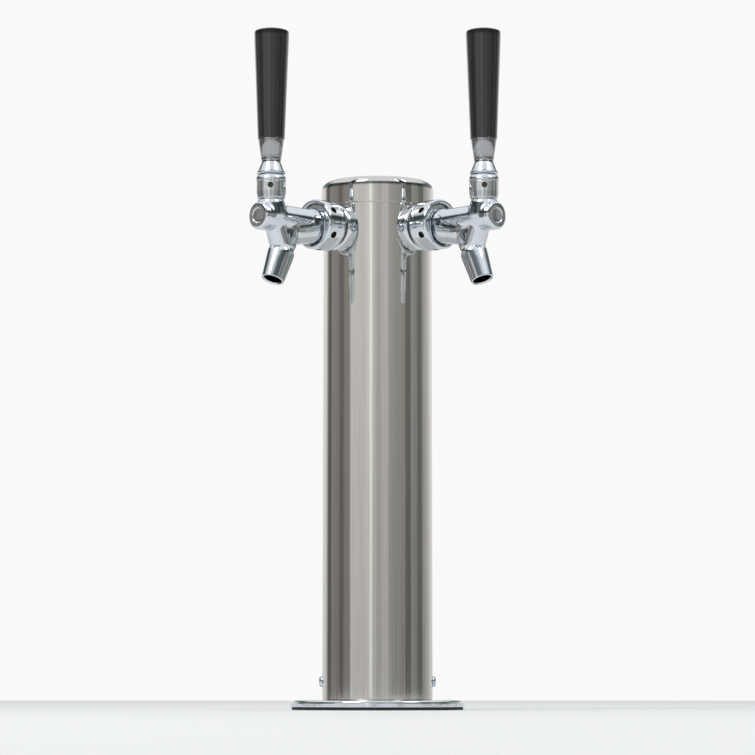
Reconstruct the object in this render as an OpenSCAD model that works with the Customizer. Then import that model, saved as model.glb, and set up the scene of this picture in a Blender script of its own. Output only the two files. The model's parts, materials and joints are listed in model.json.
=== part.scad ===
// Beer tap tower: a stainless column on a screw-down foot, with two lever faucets.
// +Z is up, the front is towards -Y, and the origin is the centre of the foot on the counter.
// All sizes are in millimetres.

/* [Column] */
// Height from the counter to the top of the cap
tower_h = 368; // [300:1:450]
// Outer diameter of the column tube
column_d = 76.2; // [73:0.1:92]
// Wall of the column tube
column_wall = 1.2; // [0.8:0.1:2]
// Overall height of the cap
cap_h = 19; // [14:0.5:20]
// Wall of the cap
cap_wall = 1.2; // [0.8:0.1:2]
// Radius of the cap's top edge
cap_round = 6; // [2:0.5:9]

/* [Foot] */
// Width of the foot outside the column, all round
foot_ledge = 22; // [18:0.5:32]
// Thickness of the foot
foot_t = 5; // [4:0.5:9]
// Thickness of the rubber gasket under the foot
gasket_t = 2; // [1:0.5:4]
// Height of the ring that stands up inside the column
ring_h = 25; // [20:1:30]
// Wall of that ring
ring_wall = 3; // [2.5:0.5:4.5]
// Number of screw holes in the foot
bolt_count = 4; // [3:1:6]
// Diameter of a screw hole in the foot
bolt_d = 5.5; // [4:0.5:6.5]
// Thread diameter of the screws that hold the column
column_screw_d = 3.8; // [3:0.1:5]

/* [Taps] */
// Angle between the two taps
tap_spread = 90; // [86:1:130]
// How far the taps sit below the top of the cap
tap_drop = 36; // [36:0.5:60]
// From the column's face to the lever's axis
tap_reach = 64; // [62:0.5:80]

/* [Shank] */
// Thread diameter of the shank
shank_d = 22.2; // [18:0.1:23]
// Bore of the shank
shank_bore = 6.4; // [4.8:0.1:7]
// Diameter of the flange against the column
shank_flange_d = 31.5; // [29:0.5:33]
// Thickness of that flange at its middle
shank_flange_t = 5.5; // [4:0.5:8]
// Gap between the column and the coupling nut
nut_standoff = 9; // [8.5:0.5:12]
// Outer diameter of the coupling nut
nut_d = 34.6; // [33:0.1:40]
// Length of the coupling nut
nut_l = 16; // [14:0.5:20]
// Width of the lock nut inside the column, across its flats
lock_nut_af = 28.6; // [26:0.1:30]

/* [Faucet] */
// Diameter of the barrel
barrel_d = 19.2; // [18:0.1:22]
// From the lever's axis to the tip of the nose
nose_l = 12.5; // [12:0.5:18]
// Diameter of the bonnet
bonnet_d = 20.6; // [19.8:0.1:24]
// Height of the lever's pivot above the barrel's axis
pivot_h = 22; // [21:0.5:26]
// Length of the spout from the barrel's axis
spout_l = 46; // [40:1:60]
// Lean of the spout from the vertical
spout_lean = 22; // [15:1:28]
// Outer diameter of the spout's mouth
mouth_d = 15.6; // [14.4:0.1:17]
// Bore of the spout
spout_bore = 12.4; // [10:0.1:12.8]
// How far the lever tilts forward
lever_throw = 24; // [15:1:24]

/* [Handle] */
// Height of the knob
knob_h = 76; // [50:1:150]
// Diameter of the knob at its top
knob_top_d = 24; // [20:0.5:40]
// Diameter of the knob at its foot
knob_foot_d = 18.4; // [17:0.1:24]
// Height of the ferrule under the knob
ferrule_h = 15; // [10:0.5:25]
// Diameter of the ferrule at its foot
ferrule_foot_d = 13.2; // [12.5:0.1:16]

/* [Beer lines] */
// Outer diameter of a beer line
line_d = 11.1; // [9:0.1:11.6]
// Bore of a beer line
line_bore = 6.4; // [5:0.1:7]
// Outer diameter of the spigot where the keg's line goes on
spigot_d = 7.94; // [6.35:0.01:9.5]
// Outer diameter of the cooling air tube
air_tube_d = 16; // [12:0.5:16]

/* [Hidden] */
$fn = 96;

LEFT = -1;
RIGHT = 1;
CHROME = "#c9ced4";
STAINLESS = "#b4b1ab";
BLACK = "#1b1b1d";
RUBBER = "#242424";
FOAM = "#8f9296";
PLASTIC = "#e6e4dc";
VINYL = "#dfe6e6";

running_gap = 0.05;   // between a shaft and its bore, on the radius
slip_gap = 0.15;      // between pieces that slide together once, on the radius
cap_gap = 0.25;       // between the cap and the column, all round and on top
seal_gap = 0.1;       // between the seat and the closed valve's washer
eps = 0.01;           // overrun of a cut past the face that it opens

// Column and foot
column_r = column_d / 2;
column_bore_r = column_r - column_wall;
foot_top = gasket_t + foot_t;
column_top = tower_h - cap_round - cap_gap;
ring_r = column_bore_r - slip_gap;
ring_bore_r = ring_r - ring_wall;
ring_top = foot_top + ring_h;
foot_r = column_r + foot_ledge;
foot_round = 2;
bolt_circle_r = column_r + foot_ledge / 2;
countersink_d = 2 * bolt_d;
column_screw_z = foot_top + ring_h / 2;
column_screw_angles = [0, 90, 180];   // right, rear and left, so that the front stays plain

// Stations along a tap, from the column's axis
shank_z = tower_h - tap_drop;
shank_r = shank_d / 2;
nut_rear_s = column_r + nut_standoff;
nut_front_s = nut_rear_s + nut_l;
nut_r = nut_d / 2;
nut_lip_t = 3;
collar_t = 4;
collar_r = 13;
washer_t = 1.5;
collar_s = nut_rear_s + nut_lip_t;
face_s = collar_s + collar_t + washer_t;
male_thread_r = collar_r + 1.1;
male_thread_l = 5;
spline_count = 12;
saddle_t = 6.5;
lock_nut_t = 7;
saddle_s = column_bore_r - saddle_t;
lock_nut_s = saddle_s - lock_nut_t;
shank_rear_s = lock_nut_s - 1.8;

// Tail elbow and beer line
tail_r = 4.75;
tail_bend_r = 11;
tail_socket_l = 5;
tail_s = shank_rear_s + 1.5 - tail_bend_r;
tail_end_z = -42;
barb_top_z = -20;
barb_pitch = 6.5;
barb_count = 3;
barb_l = 3.2;
barb_h = 0.9;
line_wall = (line_d - line_bore) / 2;
stretched_bore_r = tail_r + slip_gap;
stretched_r = stretched_bore_r + line_wall * 0.8;
line_top_z = barb_top_z + 2;
stretched_l = 24;
clamp_wall = 0.8;
clamp_w = 7;
clamp_drop = 8;
stub_bottom = 12;
spigot_l = 20;
stub_hex_t = 8;
stub_hex_af = 12;
stub_top = stub_bottom + spigot_l + stub_hex_t;
stub_bore_r = 2.5;
stub_tail_l = 22;
line_bottom = stub_top + 1;
sleeve_bore_r = tail_s + stretched_r + 1.4;
sleeve_r = column_bore_r - 0.6;
sleeve_top = shank_z - 50;
sleeve_slit = 2;
air_tube_r = air_tube_d / 2;
air_tube_wall = 1.5;
air_tube_y = sleeve_bore_r - air_tube_r - running_gap;
air_tube_bottom = 10;
air_tube_top = shank_z - 32;

// Faucet
lever_s = column_r + tap_reach;
nose_s = lever_s + nose_l;
barrel_r = barrel_d / 2;
nose_round = 3.4;
chamber_r = barrel_r - 1.8;
seat_s = lever_s - 28.5;
passage_r = chamber_r - 2.3;
guide_r = 4.5;
guide_rear_s = lever_s - 6;
guide_end_s = nose_s - 3;
spout_s = lever_s - 19;
spout_neck_r = barrel_r - 0.6;
spout_bore_r = spout_bore / 2;
spout_top_bore_r = spout_bore_r - 0.5;
spout_wide_bore_l = spout_l - 16;
mouth_r = mouth_d / 2;
finger_r = 2;
finger_gap = 0.6;
slot_gap = 0.35;
finger_arm = pivot_h - finger_r;

// Ball joint, measured from the pivot
ball_r = 6.8;
ball_gap = 0.1;
neck_bore_r = ball_r + 0.4;
neck_r = 8.6;
neck_base_z = barrel_r + 2.6;
cup_z = pivot_h - ball_r - 0.6;
cup_t = 4.6;
cup_bore_r = 5.8;
bonnet_r = bonnet_d / 2;
bonnet_round = 0.8;
dome_r = bonnet_r + 0.8;
opening_r = 8;
lip_r = 5.9;
lip_h = sqrt(ball_r * ball_r - lip_r * lip_r);
spanner_hole_r = 2;
spanner_hole_depth = 1.2;
spanner_hole_z = pivot_h - 1.2;
stem_r = 2.9;
skirt_gap = 0.25;
skirt_t = 1.2;
skirt_angle = 51;
skirt_top_r = 6.4;

// Handle
ferrule_z = pivot_h + 16.6;
knob_z = ferrule_z + ferrule_h;
knob_top = knob_z + knob_h;
lever_thread_r = 4.76;
lever_thread_l = 14;
spigot_into_knob = 9;
ferrule_top_r = knob_foot_d / 2 - 0.4;
knob_spigot_r = ferrule_top_r - 2.6;
knob_round = 2.4;

// Valve, in its closed place
rod_r = 2.4;
seat_washer_t = 3;
seat_washer_r = chamber_r - 0.8;
seat_nut_t = 3.5;
seat_nut_af = 8.5;
shaft_tail_s = seat_s - seal_gap - seat_washer_t - seat_nut_t - 1;
shaft_shoulder_s = lever_s - 11;
shaft_front_s = guide_end_s - 1;

// Points on an arc about c, from angle a0 to a1, in n steps
function arc(c, r, a0, a1, n = 8) =
  [for (i = [0:n]) let (a = a0 + (a1 - a0) * i / n) [c[0] + r * cos(a), c[1] + r * sin(a)]];

// Places children given in a tap's frame: +X out along the tap, the origin on the column's axis
module tap(side) {
  translate([0, 0, shank_z])
    rotate([0, 0, -90 + side * tap_spread / 2])
      children();
}

// Turns children drawn about Z so that they lie along the tap
module along_tap(s = 0) {
  translate([s, 0, 0])
    rotate([0, 90, 0])
      children();
}

// A body of revolution about the tap's axis, from [radius, station] points
module turned(points) {
  along_tap()
    rotate_extrude()
      polygon(points);
}

// A body of revolution about the lever's axis, from [radius, height] points
module turned_on_lever(points) {
  translate([lever_s, 0, 0])
    rotate_extrude()
      polygon(points);
}

// A straight taper between two points [station, height] of the tap's upright plane
module taper_between(a, ra, b, rb) {
  run = b - a;
  translate([a[0], 0, a[1]])
    rotate([0, atan2(run[0], run[1]), 0])
      cylinder(h = norm(run), r1 = ra, r2 = rb);
}

// Places children at the root of the spout, with +Z running down the spout
module along_spout() {
  translate([spout_s, 0, 0])
    rotate([0, 180 - spout_lean, 0])
      children();
}

// A ring between two radii
module ring(r, bore_r, h) {
  difference() {
    cylinder(h = h, r = r);
    translate([0, 0, -eps])
      cylinder(h = h + 2 * eps, r = bore_r);
  }
}

// A hexagonal nut blank, by its width across flats
module hexagon(af, h) {
  cylinder(h = h, d = af / cos(30), $fn = 6);
}

// Copies children onto the foot's screw holes
module at_bolts() {
  for (i = [0:bolt_count - 1])
    rotate([0, 0, 45 + i * 360 / bolt_count])
      translate([bolt_circle_r, 0, 0])
        children();
}

// Copies children onto the screws round the column, with +Z pointing outwards from the axis
module at_column_screws() {
  for (a = column_screw_angles)
    translate([0, 0, column_screw_z])
      rotate([0, 0, a])
        rotate([0, 90, 0])
          children();
}

module base_gasket() {
  color(RUBBER)
    difference() {
      ring(foot_r - 1, ring_bore_r, gasket_t);
      at_bolts()
        translate([0, 0, -eps])
          cylinder(h = gasket_t + 2 * eps, d = bolt_d);
    }
}

module base_flange() {
  color(CHROME)
    difference() {
      union() {
        translate([0, 0, gasket_t])
          rotate_extrude()
            polygon(concat(
              [[0, 0], [foot_r, 0]],
              arc([foot_r - foot_round, foot_t - foot_round], foot_round, 0, 90),
              [[0, foot_t]]
            ));
        translate([0, 0, gasket_t])
          cylinder(h = ring_top - gasket_t, r = ring_r);
      }
      cylinder(h = ring_top + eps, r = ring_bore_r);
      at_bolts() {
        cylinder(h = foot_top + eps, d = bolt_d);
        translate([0, 0, foot_top - (countersink_d - bolt_d) / 2])
          cylinder(h = (countersink_d - bolt_d) / 2 + eps, d1 = bolt_d, d2 = countersink_d + 2 * eps);
      }
      at_column_screws()
        cylinder(h = column_r, d = column_screw_d + 2 * running_gap);
    }
}

module column_tube() {
  color(STAINLESS)
    difference() {
      translate([0, 0, foot_top])
        ring(column_r, column_bore_r, column_top - foot_top);
      for (side = [LEFT, RIGHT])
        tap(side)
          along_tap()
            cylinder(h = column_r + 1, r = shank_r + slip_gap);
      at_column_screws()
        cylinder(h = column_r + 1, d = column_screw_d + 2 * slip_gap);
    }
}

module column_screws() {
  head_r = column_screw_d;
  head_h = 2.4;
  color(CHROME)
    at_column_screws()
      difference() {
        union() {
          translate([0, 0, ring_bore_r + 0.6])
            cylinder(h = column_r - ring_bore_r, d = column_screw_d);
          translate([0, 0, column_r + running_gap])
            rotate_extrude()
              polygon(concat([[0, 0], [head_r, 0]], arc([head_r - 1.6, head_h - 1.6], 1.6, 0, 90), [[0, head_h]]));
        }
        translate([0, 0, column_r + head_h - 1.4])
          for (turn = [0, 90])
            rotate([0, 0, turn])
              translate([-head_r * 0.55, -0.45, 0])
                cube([head_r * 1.1, 0.9, 2]);
      }
}

module cap() {
  cap_r = column_r + cap_gap + cap_wall;
  shoulder_h = cap_h - cap_round;
  color(STAINLESS)
    translate([0, 0, tower_h - cap_h])
      rotate_extrude()
        polygon(concat(
          [[cap_r - cap_wall, 0], [cap_r, 0]],
          arc([cap_r - cap_round, shoulder_h], cap_round, 0, 90),
          [[0, cap_h], [0, cap_h - cap_wall], [cap_r - cap_round, cap_h - cap_wall]],
          [[column_bore_r - 0.8, shoulder_h], [cap_r - cap_wall, shoulder_h]]
        ));
}

module insulation_sleeve() {
  color(FOAM)
    difference() {
      translate([0, 0, ring_top])
        ring(sleeve_r, sleeve_bore_r, sleeve_top - ring_top);
      translate([-sleeve_slit / 2, 0, ring_top - eps])
        cube([sleeve_slit, sleeve_r + 1, sleeve_top - ring_top + 2 * eps]);
    }
}

module air_tube() {
  color(BLACK)
    translate([0, air_tube_y, air_tube_bottom])
      ring(air_tube_r, air_tube_r - air_tube_wall, air_tube_top - air_tube_bottom);
}

module shank_flange(side) {
  front_s = column_r + shank_flange_t;
  flange_r = shank_flange_d / 2;
  color(CHROME)
    tap(side)
      difference() {
        turned(concat(
          [[0, column_r - 5], [flange_r, column_r - 5]],
          arc([flange_r - 2, front_s - 2], 2, 0, 90),
          [[0, front_s]]
        ));
        translate([0, 0, -flange_r - 1])
          cylinder(h = 2 * flange_r + 2, r = column_r + running_gap, $fn = 192);
        along_tap()
          cylinder(h = front_s + 1, r = shank_r + slip_gap);
      }
}

module shank_saddle(side) {
  saddle_r = shank_flange_d / 2 - 0.5;
  color(PLASTIC)
    tap(side)
      difference() {
        intersection() {
          along_tap(saddle_s)
            cylinder(h = saddle_t, r = saddle_r);
          translate([0, 0, -saddle_r - 1])
            cylinder(h = 2 * saddle_r + 2, r = column_bore_r - running_gap, $fn = 192);
        }
        along_tap()
          cylinder(h = column_r, r = shank_r + slip_gap);
      }
}

module shank_nut(side) {
  color(CHROME)
    tap(side)
      along_tap(lock_nut_s)
        difference() {
          intersection() {
            hexagon(lock_nut_af, lock_nut_t);
            rotate_extrude()
              polygon([
                [0, 0], [lock_nut_af / 2, 0], [lock_nut_af / 2 + 2.4, 1.4],
                [lock_nut_af / 2 + 2.4, lock_nut_t], [0, lock_nut_t]
              ]);
          }
          translate([0, 0, -eps])
            cylinder(h = lock_nut_t + 2 * eps, r = shank_r + running_gap);
        }
}

module shank(side) {
  color(CHROME)
    tap(side)
      difference() {
        union() {
          turned([
            [0, shank_rear_s], [shank_r - 0.8, shank_rear_s], [shank_r, shank_rear_s + 0.8],
            [shank_r, collar_s - 1.5], [shank_r - 0.8, collar_s - 0.7], [shank_r - 0.8, collar_s],
            [collar_r, collar_s], [collar_r, collar_s + collar_t], [0, collar_s + collar_t]
          ]);
          splines(collar_s + collar_t - eps, 1.2, 0);
        }
        along_tap(shank_rear_s - eps)
          cylinder(h = collar_s, r = shank_bore / 2);
        along_tap(shank_rear_s - eps)
          cylinder(h = tail_socket_l, r = tail_r + running_gap);
        along_tap(collar_s + 1)
          cylinder(h = collar_t, r1 = shank_bore / 2, r2 = chamber_r);
      }
}

// The ring of teeth between shank and faucet, from station s and height h along the tap
module splines(s, h, gap) {
  for (i = [0:spline_count - 1])
    rotate([i * 360 / spline_count, 0, 0])
      translate([s, -0.9 - gap, collar_r - 2.2 - gap])
        cube([h + gap, 1.8 + 2 * gap, 1.6 + 2 * gap]);
}

module coupling_washer(side) {
  color(BLACK)
    tap(side)
      along_tap(collar_s + collar_t)
        ring(collar_r - 2.6, chamber_r, washer_t);
}

module coupling_nut(side) {
  hole_count = 6;
  hole_r = 2.4;
  hole_depth = 2.2;
  hole_s = nut_front_s - 6;
  edge = 1.4;
  color(CHROME)
    tap(side)
      difference() {
        turned([
          [0, nut_rear_s], [nut_r - edge, nut_rear_s], [nut_r, nut_rear_s + edge],
          [nut_r, nut_front_s - edge], [nut_r - edge, nut_front_s], [0, nut_front_s]
        ]);
        along_tap()
          cylinder(h = nut_front_s, r = shank_r + slip_gap);
        along_tap(collar_s)
          cylinder(h = nut_l, r = male_thread_r + slip_gap);
        for (i = [0:hole_count - 1])
          translate([hole_s, 0, 0])
            rotate([i * 360 / hole_count, 0, 0])
              translate([0, 0, nut_r - hole_depth])
                cylinder(h = hole_depth + 1, r = hole_r);
      }
}

// A barbed hose tail hanging from height z, given down the tail
module barbs(z, r) {
  for (i = [0:barb_count - 1])
    translate([0, 0, z - i * barb_pitch])
      cylinder(h = barb_l, r1 = r - barb_h, r2 = r);
}

module tail_elbow(side) {
  barb_core_r = tail_r - barb_h;
  color(CHROME)
    tap(side)
      difference() {
        union() {
          along_tap(tail_s + tail_bend_r)
            cylinder(h = shank_rear_s + tail_socket_l - tail_s - tail_bend_r - 0.2, r = tail_r);
          elbow_bend(tail_r);
          translate([tail_s, 0, barb_top_z])
            cylinder(h = -barb_top_z - tail_bend_r, r = tail_r);
          translate([tail_s, 0, tail_end_z])
            cylinder(h = barb_top_z - tail_end_z, r = barb_core_r);
          translate([tail_s, 0, 0])
            barbs(barb_top_z - 6, tail_r);
        }
        along_tap(tail_s + tail_bend_r)
          cylinder(h = tail_bend_r + tail_socket_l, r = shank_bore / 2);
        elbow_bend(shank_bore / 2);
        translate([tail_s, 0, tail_end_z - eps])
          cylinder(h = -tail_end_z - tail_bend_r + eps, r = shank_bore / 2);
      }
}

// The quarter bend of the tail, of a round bar of radius r
module elbow_bend(r) {
  translate([tail_s + tail_bend_r, 0, -tail_bend_r])
    rotate([90, 0, 0])
      rotate([0, 0, 90])
        rotate_extrude(angle = 90)
          translate([tail_bend_r, 0])
            circle(r = r);
}

module beer_line(side) {
  top = shank_z + line_top_z;
  line_r = line_d / 2;
  color(VINYL)
    rotate([0, 0, -90 + side * tap_spread / 2])
      translate([tail_s, 0, 0])
        rotate_extrude()
          polygon([
            [stretched_bore_r, line_bottom], [stretched_r, line_bottom],
            [stretched_r, line_bottom + stretched_l - 4], [line_r, line_bottom + stretched_l],
            [line_r, top - stretched_l - 4], [stretched_r, top - stretched_l],
            [stretched_r, top], [stretched_bore_r, top],
            [stretched_bore_r, top - stretched_l], [line_bore / 2, top - stretched_l - 4],
            [line_bore / 2, line_bottom + stretched_l + 1], [stretched_bore_r, line_bottom + stretched_l - 3]
          ]);
}

module line_clamps(side) {
  bore_r = stretched_r + running_gap;
  ear_w = 3.6;
  ear_h = 2.4;
  color(STAINLESS)
    rotate([0, 0, -90 + side * tap_spread / 2])
      for (z = [shank_z + line_top_z - clamp_drop - clamp_w, line_bottom + clamp_drop])
        translate([tail_s, 0, z])
          difference() {
            union() {
              cylinder(h = clamp_w, r = bore_r + clamp_wall);
              rotate([0, 0, 180 - side * tap_spread / 2])
                translate([bore_r, -ear_w / 2, 0])
                  cube([ear_h, ear_w, clamp_w]);
            }
            translate([0, 0, -eps])
              cylinder(h = clamp_w + 2 * eps, r = bore_r);
          }
}

module inlet_stub(side) {
  color(STAINLESS)
    rotate([0, 0, -90 + side * tap_spread / 2])
      translate([tail_s, 0, 0])
        difference() {
          union() {
            translate([0, 0, stub_bottom])
              cylinder(h = spigot_l, d = spigot_d);
            translate([0, 0, stub_bottom + spigot_l])
              hexagon(stub_hex_af, stub_hex_t);
            translate([0, 0, stub_top])
              cylinder(h = stub_tail_l, r = tail_r - barb_h);
            translate([0, 0, stub_top + 3.5])
              for (i = [0:barb_count - 1])
                translate([0, 0, i * barb_pitch - 0.5])
                  cylinder(h = barb_l, r1 = tail_r, r2 = tail_r - barb_h);
          }
          translate([0, 0, stub_bottom - eps])
            cylinder(h = stub_top + stub_tail_l - stub_bottom + 2 * eps, r = stub_bore_r);
        }
}

// The faucet's outside, as one closed form
module faucet_form() {
  thread_end_s = face_s + male_thread_l;
  belly_s = nut_front_s - 3.5;
  spout_root = [spout_s + 3, -8];
  spout_mid_d = spout_l * 0.46;
  spout_mid = [spout_s + spout_mid_d * sin(spout_lean), -spout_mid_d * cos(spout_lean)];
  // thread for the coupling nut
  turned([
    [0, face_s], [male_thread_r - 0.8, face_s], [male_thread_r, face_s + 0.8],
    [male_thread_r, thread_end_s], [0, thread_end_s]
  ]);
  // barrel and nose
  turned(concat(
    [[0, face_s], [barrel_r + 1.6, face_s], [barrel_r + 1.6, nut_front_s]],
    [[barrel_r, nut_front_s + 7]],
    arc([barrel_r - nose_round, nose_s - nose_round], nose_round, 0, 90),
    [[0, nose_s]]
  ));
  // belly, from inside the nut down into the spout
  taper_between([belly_s, -2.2], male_thread_r - 2.9, spout_root, spout_neck_r);
  // neck under the bonnet
  translate([lever_s, 0, 0])
    cylinder(h = neck_base_z, r = neck_r + 0.7);
  translate([lever_s, 0, 0])
    cylinder(h = pivot_h, r = neck_r);
  // chin, from under the lever down into the spout
  taper_between([lever_s - 3, -1], barrel_r - 2, spout_mid, spout_neck_r - 0.5);
  // spout
  along_spout()
    rotate_extrude()
      polygon([
        [0, 0], [spout_neck_r, 0], [spout_neck_r - 0.2, spout_l * 0.42],
        [spout_neck_r + 0.1, spout_l * 0.52], [spout_neck_r - 0.1, spout_l * 0.66],
        [mouth_r, spout_l - 2], [mouth_r + 0.2, spout_l - 1.2], [mouth_r, spout_l], [0, spout_l]
      ]);
}

module faucet_body(side) {
  slot_half = finger_r + finger_gap;
  slot_back = (slot_half + 0.1) / cos(lever_throw);
  color(CHROME)
    tap(side)
      difference() {
        faucet_form();
        along_tap(face_s - eps)
          cylinder(h = seat_s - face_s + eps, r = chamber_r);
        splines(face_s - eps, 1.6, 0.25);
        along_tap(seat_s - 1)
          cylinder(h = guide_rear_s - seat_s + 1, r = passage_r);
        along_tap(seat_s)
          cylinder(h = guide_end_s - seat_s, r = guide_r + running_gap);
        translate([lever_s, 0, cup_z])
          cylinder(h = pivot_h, r = neck_bore_r);
        // room for the lever's finger, from upright to full tilt
        translate([0, slot_half, 0])
          rotate([90, 0, 0])
            linear_extrude(height = 2 * slot_half)
              polygon([
                [lever_s + slot_half + 0.1, 0], [lever_s + slot_half + 0.1, cup_z + eps],
                [lever_s - (pivot_h - cup_z) * tan(lever_throw) - slot_back, cup_z + eps],
                [lever_s - pivot_h * tan(lever_throw) - slot_back, 0]
              ]);
        along_spout()
          cylinder(h = spout_l + eps, r = spout_top_bore_r);
        along_spout()
          translate([0, 0, spout_l - spout_wide_bore_l])
            cylinder(h = spout_wide_bore_l + eps, r = spout_bore_r);
      }
}

module lever_washer(side) {
  color(PLASTIC)
    tap(side)
      difference() {
        translate([lever_s, 0, cup_z])
          ring(neck_bore_r - running_gap, cup_bore_r, cup_t);
        translate([lever_s, 0, pivot_h])
          sphere(r = ball_r + ball_gap);
      }
}

module bonnet(side) {
  foot_z = neck_base_z + 0.4;
  dome_side_h = sqrt(dome_r * dome_r - bonnet_r * bonnet_r);
  opening_h = sqrt(dome_r * dome_r - opening_r * opening_r);
  color(CHROME)
    tap(side)
      difference() {
        turned_on_lever(concat(
          [[neck_r + running_gap, foot_z], [bonnet_r - bonnet_round, foot_z], [bonnet_r, foot_z + 4]],
          [[bonnet_r, pivot_h + dome_side_h - bonnet_round]],
          arc([0, pivot_h], dome_r, asin(dome_side_h / dome_r) + 3, asin(opening_h / dome_r), 6),
          [[lip_r, pivot_h + lip_h + 0.6], [lip_r, pivot_h + lip_h * 0.4]],
          [[lip_r, pivot_h + 0.2], [neck_r + running_gap, pivot_h + 0.2]]
        ));
        translate([lever_s, 0, pivot_h])
          sphere(r = ball_r + ball_gap);
        for (a = [45:90:315])
          translate([lever_s, 0, spanner_hole_z])
            rotate([0, 0, a])
              rotate([0, 90, 0])
                translate([0, 0, bonnet_r - spanner_hole_depth])
                  cylinder(h = spanner_hole_depth + 1, r = spanner_hole_r);
      }
}

module lever(side) {
  skirt_in_r = dome_r + skirt_gap;
  skirt_out_r = skirt_in_r + skirt_t;
  color(CHROME)
    tap(side) {
      translate([lever_s, 0, pivot_h])
        sphere(r = ball_r);
      translate([lever_s, 0, finger_r])
        cylinder(h = finger_arm - 2, r = finger_r);
      translate([lever_s, 0, finger_r])
        sphere(r = finger_r);
      // stem and skirt, a cone that turns about the ball just above the bonnet
      turned_on_lever(concat(
        [[0, pivot_h], [stem_r, pivot_h]],
        arc([0, pivot_h], skirt_in_r, acos(stem_r / skirt_in_r), 90 - skirt_angle, 6),
        [[skirt_out_r * sin(skirt_angle), pivot_h + skirt_out_r * cos(skirt_angle)]],
        [[skirt_top_r, ferrule_z - 0.8], [skirt_top_r, ferrule_z], [0, ferrule_z]]
      ));
      translate([lever_s, 0, ferrule_z - eps])
        cylinder(h = lever_thread_l, r = lever_thread_r);
    }
}

module ferrule(side) {
  bore_r = lever_thread_r + running_gap;
  foot_r1 = ferrule_foot_d / 2;
  color(CHROME)
    tap(side)
      turned_on_lever([
        [bore_r, ferrule_z], [foot_r1 - 0.6, ferrule_z], [foot_r1, ferrule_z + 0.6],
        [ferrule_top_r, knob_z], [knob_spigot_r, knob_z],
        [knob_spigot_r, knob_z + spigot_into_knob], [bore_r, knob_z + spigot_into_knob]
      ]);
}

module knob(side) {
  foot_r1 = knob_foot_d / 2;
  top_r = knob_top_d / 2;
  socket_r = knob_spigot_r + running_gap;
  color(BLACK)
    tap(side)
      turned_on_lever(concat(
        [[socket_r, knob_z], [foot_r1 - 0.5, knob_z], [foot_r1, knob_z + 0.5]],
        arc([top_r - knob_round, knob_top - knob_round - 0.6], knob_round, 0, 80),
        [[0, knob_top]],
        [[0, knob_z + spigot_into_knob + 1], [socket_r, knob_z + spigot_into_knob + 1]]
      ));
}

module valve_shaft(side) {
  slot_half = finger_r + slot_gap;
  color(STAINLESS)
    tap(side)
      difference() {
        turned([
          [0, shaft_tail_s], [rod_r - 0.4, shaft_tail_s], [rod_r, shaft_tail_s + 0.4],
          [rod_r, shaft_shoulder_s], [guide_r, shaft_shoulder_s + 2.1],
          [guide_r, shaft_front_s - 0.8], [guide_r - 0.8, shaft_front_s], [0, shaft_front_s]
        ]);
        translate([lever_s - slot_half, -guide_r - 1, -finger_gap])
          cube([2 * slot_half, 2 * guide_r + 2, guide_r + 2]);
      }
}

module seat_washer(side) {
  color(RUBBER)
    tap(side)
      along_tap(seat_s - seal_gap - seat_washer_t)
        ring(seat_washer_r, rod_r + running_gap, seat_washer_t);
}

module seat_nut(side) {
  color(STAINLESS)
    tap(side)
      along_tap(seat_s - seal_gap - seat_washer_t - seat_nut_t)
        difference() {
          hexagon(seat_nut_af, seat_nut_t);
          translate([0, 0, -eps])
            cylinder(h = seat_nut_t + 2 * eps, r = rod_r + running_gap);
        }
}

base_gasket();
base_flange();
column_tube();
column_screws();
cap();
insulation_sleeve();
air_tube();
shank_flange(LEFT);  // shank_flange_left
shank_saddle(LEFT);  // shank_saddle_left
shank_nut(LEFT);  // shank_nut_left
shank(LEFT);  // shank_left
coupling_nut(LEFT);  // coupling_nut_left
coupling_washer(LEFT);  // coupling_washer_left
tail_elbow(LEFT);  // tail_elbow_left
beer_line(LEFT);  // beer_line_left
line_clamps(LEFT);  // line_clamps_left
inlet_stub(LEFT);  // inlet_stub_left
faucet_body(LEFT);  // faucet_body_left
lever_washer(LEFT);  // lever_washer_left
bonnet(LEFT);  // bonnet_left
lever(LEFT);  // lever_left
ferrule(LEFT);  // ferrule_left
knob(LEFT);  // knob_left
valve_shaft(LEFT);  // valve_shaft_left
seat_washer(LEFT);  // seat_washer_left
seat_nut(LEFT);  // seat_nut_left
shank_flange(RIGHT);  // shank_flange_right
shank_saddle(RIGHT);  // shank_saddle_right
shank_nut(RIGHT);  // shank_nut_right
shank(RIGHT);  // shank_right
coupling_nut(RIGHT);  // coupling_nut_right
coupling_washer(RIGHT);  // coupling_washer_right
tail_elbow(RIGHT);  // tail_elbow_right
beer_line(RIGHT);  // beer_line_right
line_clamps(RIGHT);  // line_clamps_right
inlet_stub(RIGHT);  // inlet_stub_right
faucet_body(RIGHT);  // faucet_body_right
lever_washer(RIGHT);  // lever_washer_right
bonnet(RIGHT);  // bonnet_right
lever(RIGHT);  // lever_right
ferrule(RIGHT);  // ferrule_right
knob(RIGHT);  // knob_right
valve_shaft(RIGHT);  // valve_shaft_right
seat_washer(RIGHT);  // seat_washer_right
seat_nut(RIGHT);  // seat_nut_right
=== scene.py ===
# A two-tap beer tower: polished column, chrome lever faucets and tapered black knobs.
# Forms are drawn in millimetres, in the frame of the piece they belong to, and placed in metres.
import json
import math

import bmesh
import bpy
from mathutils import Matrix, Vector


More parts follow.
